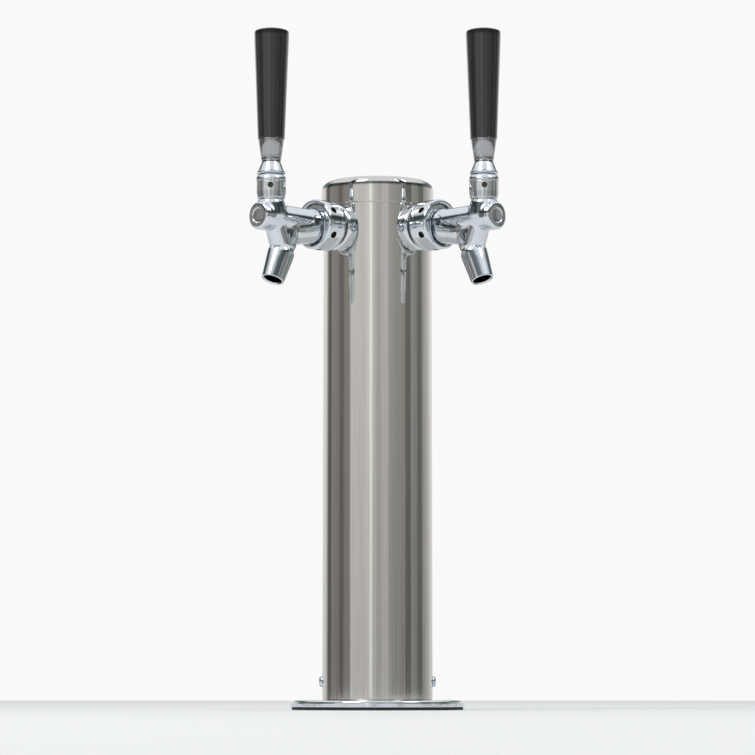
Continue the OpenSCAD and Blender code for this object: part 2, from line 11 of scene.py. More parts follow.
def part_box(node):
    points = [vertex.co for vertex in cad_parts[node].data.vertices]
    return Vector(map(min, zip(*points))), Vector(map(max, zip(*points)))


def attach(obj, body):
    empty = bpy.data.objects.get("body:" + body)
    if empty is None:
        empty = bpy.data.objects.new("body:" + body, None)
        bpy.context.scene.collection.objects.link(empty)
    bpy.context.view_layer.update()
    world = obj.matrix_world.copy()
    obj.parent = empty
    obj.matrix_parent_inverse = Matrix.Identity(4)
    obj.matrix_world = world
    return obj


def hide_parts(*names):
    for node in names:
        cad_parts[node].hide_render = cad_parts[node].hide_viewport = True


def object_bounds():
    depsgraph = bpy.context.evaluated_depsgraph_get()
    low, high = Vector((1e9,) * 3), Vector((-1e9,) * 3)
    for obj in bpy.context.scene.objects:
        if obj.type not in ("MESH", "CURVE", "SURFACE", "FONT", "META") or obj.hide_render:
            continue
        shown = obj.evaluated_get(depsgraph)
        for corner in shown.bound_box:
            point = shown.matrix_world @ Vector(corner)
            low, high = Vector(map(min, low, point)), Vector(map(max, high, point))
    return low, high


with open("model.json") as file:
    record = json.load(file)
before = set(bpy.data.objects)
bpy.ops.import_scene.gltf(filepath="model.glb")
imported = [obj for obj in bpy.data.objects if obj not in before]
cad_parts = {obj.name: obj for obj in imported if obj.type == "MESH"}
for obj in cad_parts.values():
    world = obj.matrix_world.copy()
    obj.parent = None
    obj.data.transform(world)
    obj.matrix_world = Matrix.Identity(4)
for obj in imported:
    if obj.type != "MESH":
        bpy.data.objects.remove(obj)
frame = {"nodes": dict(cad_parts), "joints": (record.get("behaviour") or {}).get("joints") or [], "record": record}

cad_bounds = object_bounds()

MM = 0.001
SIDES = ("left", "right")
IN_MM = Matrix.Scale(MM, 4)
Z_TO_X = Matrix.Rotation(math.radians(90), 4, "Y")


# Places and sizes read from the frame

def joint_named(name):
    return next(joint for joint in frame["joints"] if joint["name"] == name)


def tap_place(side):
    """The tap's own frame: +X runs out along the tap from the column's axis, level with the shank."""
    pivot = Vector(joint_named(f"lever_{side}_tilt")["pos_m"])
    low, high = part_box(f"shank_{side}")
    level = (low[2] + high[2]) / 2
    turn = math.atan2(pivot.y, pivot.x)
    return Matrix.Translation((0, 0, level)) @ Matrix.Rotation(turn, 4, "Z") @ IN_MM


TAP = {side: tap_place(side) for side in SIDES}


def points_on_tap(node):
    """The corners of a node of the left tap, in mm in the tap's own frame."""
    to_tap = TAP["left"].inverted()
    return [to_tap @ vertex.co for vertex in frame["nodes"][f"{node}_left"].data.vertices]


def along_tap(node):
    """Where a turned piece starts and ends along the tap, and its largest radius."""
    points = points_on_tap(node)
    stations = [point.x for point in points]
    return min(stations), max(stations), max(math.hypot(point.y, point.z) for point in points)


def up_lever(node):
    """The lowest and highest place of a piece on the lever, and its largest radius."""
    points = points_on_tap(node)
    heights = [point.z for point in points]
    radius = max(math.hypot(point.x - lever_s, point.y) for point in points)
    return min(heights), max(heights), radius


def upright(node):
    """The foot, top and radius of a piece that stands on the column's axis."""
    low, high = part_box(node)
    return low[2] / MM, high[2] / MM, (high[0] - low[0]) / 2 / MM


pivot_in_tap = TAP["left"].inverted() @ Vector(joint_named("lever_left_tilt")["pos_m"])
lever_s, pivot_h = pivot_in_tap.x, pivot_in_tap.z

column_foot, column_top, column_r = upright("column_tube")
cap_foot, cap_top, cap_r = upright("cap")
foot_low, ring_top, foot_r = upright("base_flange")
gasket_low, gasket_high, gasket_r = upright("base_gasket")
nut_back, nut_front, nut_r = along_tap("coupling_nut")
shank_back, _, collar_r = along_tap("shank")
flange_front, flange_r = along_tap("shank_flange")[1:]
faucet_back, nose_tip = along_tap("faucet_body")[:2]
bonnet_foot, _, bonnet_r = up_lever("bonnet")
lever_top = up_lever("lever")[1]
ferrule_foot, ferrule_top, ferrule_r = up_lever("ferrule")
knob_foot, knob_top, knob_r = up_lever("knob")

# Sizes that the pieces below share with their neighbours, in mm
column_wall = 1.2
fit_gap = 0.15
ring_r = column_r - column_wall - fit_gap
ring_bore_r = ring_r - 3
bolt_circle_r = column_r + 11
bolt_hole_r = 2.75
countersink_r = 5.6
shank_r = 11.1
shank_bore_r = 3.2
collar_back = nut_back + 3
coupling_pitch = 1.4
barrel_r = 9.6
chamber_r = barrel_r - 1.8
spout_r = barrel_r - 0.6
spout_s = lever_s - 19
spout_length = 46
spout_lean = math.radians(22)
spout_bore_r = 6.2
mouth_r = 7.8
thread_r = 14.1
neck_r = 8.6
ball_r = 6.8
dome_r = 11.1
opening_r = 8.0
lever_thread_r = 4.76
lever_throw = math.radians(24)


# Shaping

def rounded_corner(last, here, following, radius, steps=5):
    """Points on the arc of a radius that rounds the corner between two neighbours."""
    to_last, to_next = (last - here).normalized(), (following - here).normalized()
    half = to_last.angle(to_next) / 2
    centre = here + (to_last + to_next).normalized() * radius / math.sin(half)
    start = here + to_last * radius / math.tan(half) - centre
    end = here + to_next * radius / math.tan(half) - centre
    first = math.atan2(start.y, start.x)
    sweep = math.remainder(math.atan2(end.y, end.x) - first, math.tau)
    turns = [first + sweep * step / steps for step in range(steps + 1)]
    return [centre + radius * Vector((math.cos(turn), math.sin(turn))) for turn in turns]


def beside(end, far, radius):
    """A point just past the end of an arc, which keeps the straight part after it flat."""
    gap = (far - end).length
    return [end + (far - end) * min(0.3, radius * 0.4 / gap)] if gap > 0.1 else []


def rounded(profile):
    """The profile's points, with each corner that gives a third number rounded to that radius."""
    places = [Vector(corner[:2]) for corner in profile]
    count = len(places)
    arcs = [rounded_corner(places[i - 1], places[i], places[(i + 1) % count], corner[2])
            if len(corner) == 3 else [places[i]] for i, corner in enumerate(profile)]
    points = []
    for i, arc in enumerate(arcs):
        if len(arc) > 1:
            radius = profile[i][2]
            before = beside(arc[0], arcs[i - 1][-1], radius)
            after = beside(arc[-1], arcs[(i + 1) % count][0], radius)
            arc = before + arc + after
        points += arc
    return points


def dome(radius, from_degrees, to_degrees, centre_h, steps=12):
    """Profile points on a circle round a height on the axis, by angles up from the horizontal."""
    turns = [math.radians(from_degrees + (to_degrees - from_degrees) * i / steps) for i in range(steps + 1)]
    return [(radius * math.cos(a), centre_h + radius * math.sin(a)) for a in turns]


def lathe(profile, steps=96):
    """A closed turned form about Z, from its profile's (radius, height) corners."""
    form = bmesh.new()
    line = [form.verts.new((point[0], 0, point[1])) for point in rounded(profile)]
    pairs = list(zip(line, line[1:] + line[:1]))
    edges = [form.edges.new(pair) for pair in pairs if pair[0].co.x > 0 or pair[1].co.x > 0]
    bmesh.ops.spin(form, geom=line + edges, cent=(0, 0, 0), axis=(0, 0, 1), angle=math.tau,
                   steps=steps, use_merge=True)
    bmesh.ops.remove_doubles(form, verts=form.verts, dist=1e-4)
    bmesh.ops.recalc_face_normals(form, faces=form.faces)
    return form


def thread(root_r, depth, pitch, foot, length, steps):
    """A screw thread's ridge about Z, closed at both ends."""
    form = bmesh.new()
    turns = length / pitch - 1
    half = pitch * 0.45
    section = [(root_r - 0.3, -half), (root_r + depth, -pitch * 0.08),
               (root_r + depth, pitch * 0.08), (root_r - 0.3, half)]
    face = form.faces.new([form.verts.new((r, 0, foot + pitch / 2 + h)) for r, h in section])
    bmesh.ops.spin(form, geom=[face], cent=(0, 0, 0), axis=(0, 0, 1), angle=math.tau * turns,
                   dvec=(0, 0, pitch / steps), steps=round(steps * turns))
    bmesh.ops.recalc_face_normals(form, faces=form.faces)
    return form


def block(size, centre):
    """A closed box."""
    form = bmesh.new()
    bmesh.ops.create_cube(form, size=1)
    bmesh.ops.scale(form, vec=size, verts=form.verts)
    bmesh.ops.translate(form, vec=centre, verts=form.verts)
    return form


def rod(radius, foot, top, steps=64):
    """A plain closed rod about Z."""
    return lathe([(0, foot), (radius, foot), (radius, top), (0, top)], steps)


def ball(radius, centre):
    """A closed ball."""
    form = bmesh.new()
    bmesh.ops.create_uvsphere(form, u_segments=64, v_segments=32, radius=radius)
    bmesh.ops.translate(form, vec=centre, verts=form.verts)
    return form


def placed(form, place):
    """The form moved by a matrix."""
    bmesh.ops.transform(form, matrix=place, verts=form.verts)
    return form


def lying(form):
    """A form turned about Z, laid along the tap, so that its heights become stations."""
    return placed(form, Z_TO_X)


def on_lever(form):
    """A form turned about Z, stood on the lever's axis."""
    return placed(form, Matrix.Translation((lever_s, 0, 0)))


def between(start, end, start_r, end_r):
    """A round-ended taper between two points (station, height) of the tap's upright plane."""
    run = Vector((end[0] - start[0], 0, end[1] - start[1]))
    form = lathe([(0, 0), (start_r, 0, start_r * 0.2), (end_r, run.length, end_r * 0.2), (0, run.length)])
    lean = Vector((0, 0, 1)).rotation_difference(run).to_matrix().to_4x4()
    return placed(form, Matrix.Translation((start[0], 0, start[1])) @ lean)


SPOUT = Matrix.Translation((spout_s, 0, 0)) @ Matrix.Rotation(math.pi - spout_lean, 4, "Y")


def joined(*forms):
    """Several forms as one."""
    whole = bmesh.new()
    for form in forms:
        mesh = bpy.data.meshes.new("form")
        form.to_mesh(mesh)
        form.free()
        whole.from_mesh(mesh)
        bpy.data.meshes.remove(mesh)
    return whole


def bench_object(form):
    """A form as an object for a moment, so that a modifier can work on it."""
    mesh = bpy.data.meshes.new("bench")
    form.to_mesh(mesh)
    form.free()
    item = bpy.data.objects.new("bench", mesh)
    bpy.context.scene.collection.objects.link(item)
    return item


def off_bench(item, *tools):
    """What the modifiers made of the object, as a form with no slivers or pinholes."""
    form = bmesh.new()
    form.from_object(item, bpy.context.evaluated_depsgraph_get())
    for spent in (item, *tools):
        bpy.data.meshes.remove(spent.data)
    bmesh.ops.remove_doubles(form, verts=form.verts, dist=0.002)
    bmesh.ops.dissolve_degenerate(form, edges=form.edges, dist=0.001)
    bmesh.ops.holes_fill(form, edges=[edge for edge in form.edges if edge.is_boundary])
    return form


def carved(form, *cutters):
    """The form with every cutter taken out of it."""
    item = bench_object(form)
    tools = [bench_object(cutter) for cutter in cutters]
    for tool in tools:
        cut = item.modifiers.new("cut", "BOOLEAN")
        cut.operation = "DIFFERENCE"
        cut.solver = "EXACT"
        cut.object = tool
    return off_bench(item, *tools)


def cast(form, grain, passes):
    """Overlapping forms run together into one skin, with soft fillets where they meet."""
    item = bench_object(form)
    skin = item.modifiers.new("skin", "REMESH")
    skin.mode = "VOXEL"
    skin.voxel_size = grain
    form = off_bench(item)
    for _ in range(passes):
        bmesh.ops.smooth_vert(
            form, verts=form.verts, factor=0.5, use_axis_x=True, use_axis_y=True, use_axis_z=True)
    return form


# Shaders

def node(tree, kind, **settings):
    """A new shader node, with its settings and, by name, its sockets' values."""
    item = tree.nodes.new(kind)
    for name, value in settings.items():
        if hasattr(item, name):
            setattr(item, name, value)
        else:
            item.inputs[name.replace("_", " ")].default_value = value
    return item


def new_group(name, inputs, outputs):
    """An empty shader group with float or vector sockets."""
    tree = bpy.data.node_groups.new(name, "ShaderNodeTree")
    kinds = {"float": "NodeSocketFloat", "vector": "NodeSocketVector"}
    for label, kind, value in inputs:
        socket = tree.interface.new_socket(label, in_out="INPUT", socket_type=kinds[kind])
        socket.default_value = value
    for label, kind in outputs:
        tree.interface.new_socket(label, in_out="OUTPUT", socket_type=kinds[kind])
    return tree, tree.nodes.new("NodeGroupInput"), tree.nodes.new("NodeGroupOutput")


def stretched_noise_group():
    """Noise drawn out along one direction, as polishing and brushing leave it."""
    tree, given, made = new_group(
        "drawn_lines",
        [("Stretch", "vector", (1, 1, 0.01)), ("Scale", "float", 900), ("Detail", "float", 3)],
        [("Value", "float")])
    here = node(tree, "ShaderNodeTexCoord")
    squeeze = node(tree, "ShaderNodeVectorMath", operation="MULTIPLY")
    lines = node(tree, "ShaderNodeTexNoise")
    tree.links.new(here.outputs["Object"], squeeze.inputs[0])
    tree.links.new(given.outputs["Stretch"], squeeze.inputs[1])
    tree.links.new(squeeze.outputs["Vector"], lines.inputs["Vector"])
    tree.links.new(given.outputs["Scale"], lines.inputs["Scale"])
    tree.links.new(given.outputs["Detail"], lines.inputs["Detail"])
    tree.links.new(lines.outputs["Fac"], made.inputs["Value"])
    return tree


def handling_group():
    """Faint wipe marks and finger smudges, as a mask from 0 to 1."""
    tree, given, made = new_group(
        "handling_marks", [("Scale", "float", 35), ("Amount", "float", 0.5)], [("Mask", "float")])
    here = node(tree, "ShaderNodeTexCoord")
    cloudy = node(tree, "ShaderNodeTexNoise", Detail=4, Roughness=0.6, Distortion=0.8)
    patch = node(tree, "ShaderNodeMapRange", From_Min=0.48, From_Max=0.72)
    fine = node(tree, "ShaderNodeTexNoise", Scale=420, Detail=2)
    mottled = node(tree, "ShaderNodeMath", operation="MULTIPLY")
    weaker = node(tree, "ShaderNodeMath", operation="MULTIPLY")
    tree.links.new(here.outputs["Object"], cloudy.inputs["Vector"])
    tree.links.new(here.outputs["Object"], fine.inputs["Vector"])
    tree.links.new(given.outputs["Scale"], cloudy.inputs["Scale"])
    tree.links.new(cloudy.outputs["Fac"], patch.inputs["Value"])
    tree.links.new(patch.outputs["Result"], mottled.inputs[0])
    tree.links.new(fine.outputs["Fac"], mottled.inputs[1])
    tree.links.new(mottled.outputs["Value"], weaker.inputs[0])
    tree.links.new(given.outputs["Amount"], weaker.inputs[1])
    tree.links.new(weaker.outputs["Value"], made.inputs["Mask"])
    return tree


def bumps_group():
    """A normal from two sizes of noise: slow waves and fine grain."""
    tree, given, made = new_group(
        "surface_bumps",
        [("Wave Scale", "float", 12), ("Wave Depth", "float", 0.0001),
         ("Grain Scale", "float", 900), ("Grain Depth", "float", 0.00001)],
        [("Normal", "vector")])
    here = node(tree, "ShaderNodeTexCoord")
    last = None
    for size in ("Wave", "Grain"):
        noise = node(tree, "ShaderNodeTexNoise", Detail=2)
        bump = node(tree, "ShaderNodeBump", Strength=1.0)
        tree.links.new(here.outputs["Object"], noise.inputs["Vector"])
        tree.links.new(given.outputs[f"{size} Scale"], noise.inputs["Scale"])
        tree.links.new(given.outputs[f"{size} Depth"], bump.inputs["Distance"])
        tree.links.new(noise.outputs["Fac"], bump.inputs["Height"])
        if last:
            tree.links.new(last.outputs["Normal"], bump.inputs["Normal"])
        last = bump
    tree.links.new(last.outputs["Normal"], made.inputs["Normal"])
    return tree


DRAWN_LINES = stretched_noise_group()
HANDLING = handling_group()
BUMPS = bumps_group()


def use_group(tree, group, **values):
    """A group placed in a material, with its inputs set by name."""
    item = tree.nodes.new("ShaderNodeGroup")
    item.node_tree = group
    for name, value in values.items():
        item.inputs[name.replace("_", " ")].default_value = value
    return item


# A colour mix node's sockets, which share their names with the sockets for other kinds of value
MIX_MASK = 0
MIX_BELOW = 6
MIX_ABOVE = 7
MIX_RESULT = 2


def mixed(tree, mask, below, above, blend="MIX"):
    """One colour laid over another by a mask. Each of the three may be a constant or a socket."""
    mix = node(tree, "ShaderNodeMix", data_type="RGBA", blend_type=blend)
    for number, value in ((MIX_MASK, mask), (MIX_BELOW, below), (MIX_ABOVE, above)):
        if isinstance(value, bpy.types.NodeSocket):
            tree.links.new(value, mix.inputs[number])
        elif isinstance(value, tuple):
            mix.inputs[number].default_value = (*value, 1)
        else:
            mix.inputs[number].default_value = value
    return mix.outputs[MIX_RESULT]


def ranged(tree, value, low, high, from_low=0.0, from_high=1.0):
    """A value carried from one range into another."""
    item = node(tree, "ShaderNodeMapRange", From_Min=from_low, From_Max=from_high, To_Min=low, To_Max=high)
    tree.links.new(value, item.inputs["Value"])
    return item.outputs["Result"]


def added(tree, first, second):
    """The sum of two values."""
    item = node(tree, "ShaderNodeMath", operation="ADD")
    tree.links.new(first, item.inputs[0])
    tree.links.new(second, item.inputs[1])
    return item.outputs["Value"]


def finish(name, metallic=0.0, **settings):
    """A new material and its surface shader, with the constants set on it."""
    material = bpy.data.materials.new(name)
    material.use_nodes = True
    tree = material.node_tree
    surface = tree.nodes["Principled BSDF"]
    surface.inputs["Metallic"].default_value = metallic
    for label, value in settings.items():
        surface.inputs[label.replace("_", " ")].default_value = value
    return material, tree, surface


def metal(name, dark, light, smooth, rough, lines, smudges, bumps):
    """A bare or plated metal: drawn lines in its colour and gloss, smudges, waves and grain."""
    material, tree, surface = finish(name, metallic=1.0)
    drawn = use_group(tree, DRAWN_LINES, **lines)
    marks = use_group(tree, HANDLING, **smudges)
    relief = use_group(tree, BUMPS, **bumps)
    tree.links.new(mixed(tree, drawn.outputs["Value"], dark, light), surface.inputs["Base Color"])
    gloss = ranged(tree, drawn.outputs["Value"], smooth, rough, 0.3, 0.7)
    tree.links.new(added(tree, gloss, marks.outputs["Mask"]), surface.inputs["Roughness"])
    tree.links.new(relief.outputs["Normal"], surface.inputs["Normal"])
    return material


def polished_steel():
    return metal(
        "polished_steel", (0.53, 0.515, 0.49), (0.75, 0.74, 0.72), 0.03, 0.075,
        dict(Stretch=(1, 1, 0.008), Scale=1400, Detail=4),
        dict(Scale=22, Amount=0.07),
        dict(Wave_Scale=14, Wave_Depth=0.00012, Grain_Scale=1500, Grain_Depth=0.000001))


def chrome():
    return metal(
        "chrome_plate", (0.635, 0.675, 0.715), (0.73, 0.765, 0.80), 0.02, 0.05,
        dict(Stretch=(1, 1, 1), Scale=160, Detail=3),
        dict(Scale=60, Amount=0.10),
        dict(Wave_Scale=90, Wave_Depth=0.00003, Grain_Scale=2500, Grain_Depth=0.0000005))


def satin_chrome():
    return metal(
        "satin_chrome", (0.33, 0.335, 0.35), (0.48, 0.485, 0.495), 0.06, 0.12,
        dict(Stretch=(0.02, 0.02, 1), Scale=3500, Detail=3),
        dict(Scale=70, Amount=0.12),
        dict(Wave_Scale=90, Wave_Depth=0.00001, Grain_Scale=3000, Grain_Depth=0.000002))


def nickel():
    return metal(
        "nickel_plate", (0.58, 0.56, 0.50), (0.70, 0.68, 0.63), 0.16, 0.28,
        dict(Stretch=(1, 1, 1), Scale=500, Detail=4),
        dict(Scale=80, Amount=0.2),
        dict(Wave_Scale=120, Wave_Depth=0.00002, Grain_Scale=1800, Grain_Depth=0.000004))


# A near-black metal for the faces inside drilled holes: painted shade for the recess, which the holes' own depth
# would give.
def painted_hole_shade():
    return metal(
        "painted_hole_shade", (0.06, 0.05, 0.04), (0.13, 0.11, 0.08), 0.35, 0.55,
        dict(Stretch=(1, 1, 1), Scale=2600, Detail=3),
        dict(Scale=120, Amount=0.2),
        dict(Wave_Scale=300, Wave_Depth=0.00002, Grain_Scale=3000, Grain_Depth=0.00001))


def turned_steel():
    return metal(
        "turned_steel", (0.50, 0.50, 0.495), (0.66, 0.66, 0.655), 0.18, 0.32,
        dict(Stretch=(0.05, 0.05, 1), Scale=4000, Detail=2),
        dict(Scale=80, Amount=0.15),
        dict(Wave_Scale=120, Wave_Depth=0.00001, Grain_Scale=2200, Grain_Depth=0.000003))


def moulded(name, base, flecks, smooth, rough, bumps, speckle=900, **settings):
    """A moulded plastic or rubber: speckled colour, uneven gloss, waves and grain."""
    material, tree, surface = finish(name, **settings)
    speck = use_group(tree, DRAWN_LINES, Stretch=(1, 1, 1), Scale=speckle, Detail=5)
    marks = use_group(tree, HANDLING, Scale=45, Amount=0.22)
    relief = use_group(tree, BUMPS, **bumps)
    mask = ranged(tree, speck.outputs["Value"], 0, 1, 0.35, 0.75)
    tree.links.new(mixed(tree, mask, base, flecks), surface.inputs["Base Color"])
    gloss = ranged(tree, speck.outputs["Value"], smooth, rough, 0.3, 0.7)
    tree.links.new(added(tree, gloss, marks.outputs["Mask"]), surface.inputs["Roughness"])
    tree.links.new(relief.outputs["Normal"], surface.inputs["Normal"])
    return material


def black_plastic():
    return moulded(
        "black_plastic", (0.010, 0.010, 0.011), (0.018, 0.018, 0.019), 0.10, 0.17,
        dict(Wave_Scale=60, Wave_Depth=0.00006, Grain_Scale=1100, Grain_Depth=0.000004),
        speckle=500, Coat_Weight=0.7, Coat_Roughness=0.04)


def black_rubber():
    return moulded(
        "black_rubber", (0.022, 0.022, 0.023), (0.05, 0.05, 0.05), 0.62, 0.85,
        dict(Wave_Scale=150, Wave_Depth=0.00008, Grain_Scale=2600, Grain_Depth=0.00003))


def white_plastic():
    return moulded(
        "white_plastic", (0.74, 0.73, 0.69), (0.82, 0.81, 0.78), 0.32, 0.45,
        dict(Wave_Scale=100, Wave_Depth=0.00004, Grain_Scale=2000, Grain_Depth=0.00001))


def clear_vinyl():
    return moulded(
        "clear_vinyl", (0.62, 0.68, 0.68), (0.74, 0.79, 0.79), 0.12, 0.22,
        dict(Wave_Scale=60, Wave_Depth=0.0001, Grain_Scale=700, Grain_Depth=0.00001),
        speckle=120, Transmission_Weight=0.45, IOR=1.52)


def duct_plastic():
    return moulded(
        "duct_plastic", (0.02, 0.02, 0.022), (0.04, 0.04, 0.042), 0.35, 0.5,
        dict(Wave_Scale=80, Wave_Depth=0.0001, Grain_Scale=1500, Grain_Depth=0.00001))


def grey_foam():
    """Closed-cell foam: small cells that show as pits."""
    material, tree, surface = finish("grey_foam", Roughness=0.95)
    here = node(tree, "ShaderNodeTexCoord")
    cells = node(tree, "ShaderNodeTexVoronoi", Scale=900)
    pits = node(tree, "ShaderNodeBump", Strength=0.8, Distance=0.0004)
    tree.links.new(here.outputs["Object"], cells.inputs["Vector"])
    tree.links.new(cells.outputs["Distance"], pits.inputs["Height"])
    color = mixed(tree, cells.outputs["Distance"], (0.30, 0.31, 0.33), (0.12, 0.125, 0.135))
    tree.links.new(color, surface.inputs["Base Color"])
    tree.links.new(pits.outputs["Normal"], surface.inputs["Normal"])
    return material


FINISHES = {
    "polished_stainless": polished_steel(),
    "chrome": chrome(),
    "satin_chrome": satin_chrome(),
    "nickel": nickel(),
    "stainless": turned_steel(),
    "painted_hole_shade": painted_hole_shade(),
    "black_plastic": black_plastic(),
    "white_plastic": white_plastic(),
    "black_rubber": black_rubber(),
    "clear_vinyl": clear_vinyl(),
    "black_duct": duct_plastic(),
    "grey_foam": grey_foam(),
}
SLOTS = {part["node"]: part["material_slot"] for part in frame["record"]["subparts"]}
BODIES = {name: body for body, names in frame["record"]["behaviour"]["bodies"].items() for name in names}


# Making pieces

HOLE_SHADE_INDEX = 1   # the material index of faces inside drilled holes, which take a near-black metal as painted shade
CREASE = math.radians(35)   # edges that turn by more than this stay sharp


def mark_painted_hole_shade(form, inside):
    """Marks the faces whose centres lie inside drilled holes, for the near-black painted shade."""
    for face in form.faces:
        if inside(face.calc_center_median()):
            face.material_index = HOLE_SHADE_INDEX


def set_in_place(form, name, place, cad_node, finish_name=None):
    """Makes the finished piece that stands for a CAD node and moves with its body."""
    bmesh.ops.transform(form, matrix=place, verts=form.verts)
    mesh = bpy.data.meshes.new(name)
    form.to_mesh(mesh)
    mesh.shade_smooth()
    mesh.set_sharp_from_angle(angle=CREASE)
    mesh.materials.append(FINISHES[finish_name or SLOTS[cad_node]])
    # Faces inside drilled holes take the near-black painted shade as a second material.
    if max(face.material_index for face in mesh.polygons) == HOLE_SHADE_INDEX:
        mesh.materials.append(FINISHES["painted_hole_shade"])
    made = bpy.data.objects.new(name, mesh)
    bpy.context.scene.collection.objects.link(made)
    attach(made, BODIES[cad_node])
    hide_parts(cad_node)
    return made


def set_on_taps(form, kind, finish_name=None):
    """Makes one piece for each tap from a form drawn in the tap's frame."""
    for side in SIDES:
        set_in_place(form.copy(), f"{kind}_{side}_piece", TAP[side], f"{kind}_{side}", finish_name)
    form.free()


def make_eased(cad_node, edge):
    """Makes a piece from a CAD shape that is already right, with its sharp edges eased."""
    form = bmesh.new()
    form.from_mesh(frame["nodes"][cad_node].data)
    bmesh.ops.remove_doubles(form, verts=form.verts, dist=1e-6)
    bmesh.ops.dissolve_limit(form, angle_limit=math.radians(0.3), verts=form.verts, edges=form.edges)
    made = set_in_place(form, f"{cad_node}_piece", Matrix.Identity(4), cad_node)
    ease = made.modifiers.new("eased_edges", "BEVEL")
    ease.width = edge * MM
    ease.segments = 2
    ease.limit_method = "ANGLE"
    ease.angle_limit = math.radians(40)
    ease.use_clamp_overlap = True


# Column and foot

def make_column():
    """The tube, with its holes for the shanks and the side screws."""
    bore = column_r - column_wall
    tube = lathe([(bore, column_foot, 0.2), (column_r, column_foot, 0.3),
                  (column_r, column_top, 0.3), (bore, column_top, 0.2)], steps=256)
    drills = [placed(rod(shank_r + fit_gap, 10, column_r + 5),
                     Matrix.Translation((0, 0, TAP[side].translation.z / MM))
                     @ Matrix.Rotation(TAP[side].to_euler().z, 4, "Z") @ Z_TO_X) for side in SIDES]
    screw_hole_r = 2.05
    drills += [placed(rod(screw_hole_r, bore - 5, column_r + 5), place) for place in screw_places()]
    set_in_place(carved(tube, *drills), "column_piece", IN_MM, "column_tube")


def screw_places():
    """The frames of the three side screws, with +Z pointing out from the column."""
    low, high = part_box("column_screws")
    level = (low[2] + high[2]) / 2 / MM
    return [Matrix.Translation((0, 0, level)) @ Matrix.Rotation(math.radians(turn), 4, "Z") @ Z_TO_X
            for turn in (0, 90, 180)]


def make_cap():
    """The pressed cap: a flat crown, a rolled shoulder and a plain skirt."""
    wall = 1.2
    shoulder = cap_top - 6
    bore = cap_r - wall
    skin = lathe([
        (0, cap_top), (cap_r - 9, cap_top - 0.25, 20), (cap_r, cap_top - 0.7, 5.4), (cap_r, cap_foot, 0.25),
        (bore, cap_foot, 0.2), (bore, shoulder, 0.2), (column_r - 2, shoulder, 0.4),
        (cap_r - 6, cap_top - 1.9, 1), (0, cap_top - 1.5)], steps=256)
    set_in_place(skin, "cap_piece", IN_MM, "cap")


def bolt_holes(foot, top, countersunk):
    """Drills for the foot's four screw holes."""
    mouth = [(bolt_hole_r, top + 1), (0, top + 1)]
    if countersunk:
        mouth = [(bolt_hole_r, top - 2.75), (countersink_r, top + 0.1),
                 (countersink_r, top + 2), (0, top + 2)]
    drills = []
    for i in range(4):
        turn = Matrix.Rotation(math.radians(45 + 90 * i), 4, "Z")
        drill = lathe([(0, foot - 1), (bolt_hole_r, foot - 1)] + mouth, 48)
        drills.append(placed(drill, turn @ Matrix.Translation((bolt_circle_r, 0, 0))))
    return drills


def make_foot():
    """The screw-down foot: a thin polished flange with a ring that stands up inside the column."""
    top = column_foot
    tapped_r = 1.95
    flange = lathe([
        (ring_bore_r, foot_low, 0.4), (foot_r, foot_low, 0.3), (foot_r, top - 0.6, 1.6), (foot_r - 6, top, 4),
        (ring_r, top, 0.2), (ring_r, ring_top, 0.6), (ring_bore_r, ring_top, 0.4)], steps=160)
    drills = bolt_holes(foot_low, top, True)
    drills += [placed(rod(tapped_r, ring_bore_r - 5, column_r), place) for place in screw_places()]
    set_in_place(carved(flange, *drills), "foot_piece", IN_MM, "base_flange")


def make_gasket():
    """The rubber gasket, with a fine rib round its edge."""
    ring = lathe([
        (ring_bore_r, gasket_low, 0.3), (gasket_r, gasket_low, 0.3), (gasket_r, gasket_high, 0.5),
        (gasket_r - 1.2, gasket_high), (gasket_r - 1.5, gasket_high - 0.2, 0.1),
        (gasket_r - 1.8, gasket_high), (ring_bore_r, gasket_high, 0.3)], steps=160)
    holes = bolt_holes(gasket_low, gasket_high, False)
    set_in_place(carved(ring, *holes), "gasket_piece", IN_MM, "base_gasket")


def make_column_screws():
    """Three pan-head screws with cross recesses, which hold the column on its foot."""
    head_r = 3.8
    core_r = 1.6
    grip = 4.2
    screws = []
    for place in screw_places():
        head = lathe([(0, column_r + 2.4), (2.4, column_r + 2.3, 2.5), (head_r, column_r + 0.9, 1.0),
                      (head_r, column_r + 0.05, 0.15), (0, column_r + 0.05)], steps=64)
        slots = [block((0.9, 4.2, 3), (0, 0, column_r + 2.5)), block((4.2, 0.9, 3), (0, 0, column_r + 2.5))]
        shaft = rod(core_r, column_r - grip, column_r + 0.1, 32)
        ridge = thread(core_r, 0.3, 0.8, column_r - grip, grip, 24)
        screws.append(placed(joined(carved(head, *slots), shaft, ridge), place))
    set_in_place(joined(*screws), "column_screws_piece", IN_MM, "column_screws")


# Taps

def make_shank_flanges():
    """The rounded collar that seats on the column, hollowed to its curve."""
    bore = shank_r + fit_gap
    boss = lathe([
        (bore, column_r - 5), (flange_r, column_r - 5), (flange_r, flange_front - 0.3, 2.2),
        (bore, flange_front, 0.4)], steps=128)
    saddle = rod(column_r + 0.05, -30, 30, 256)
    set_on_taps(carved(lying(boss), saddle), "shank_flange")


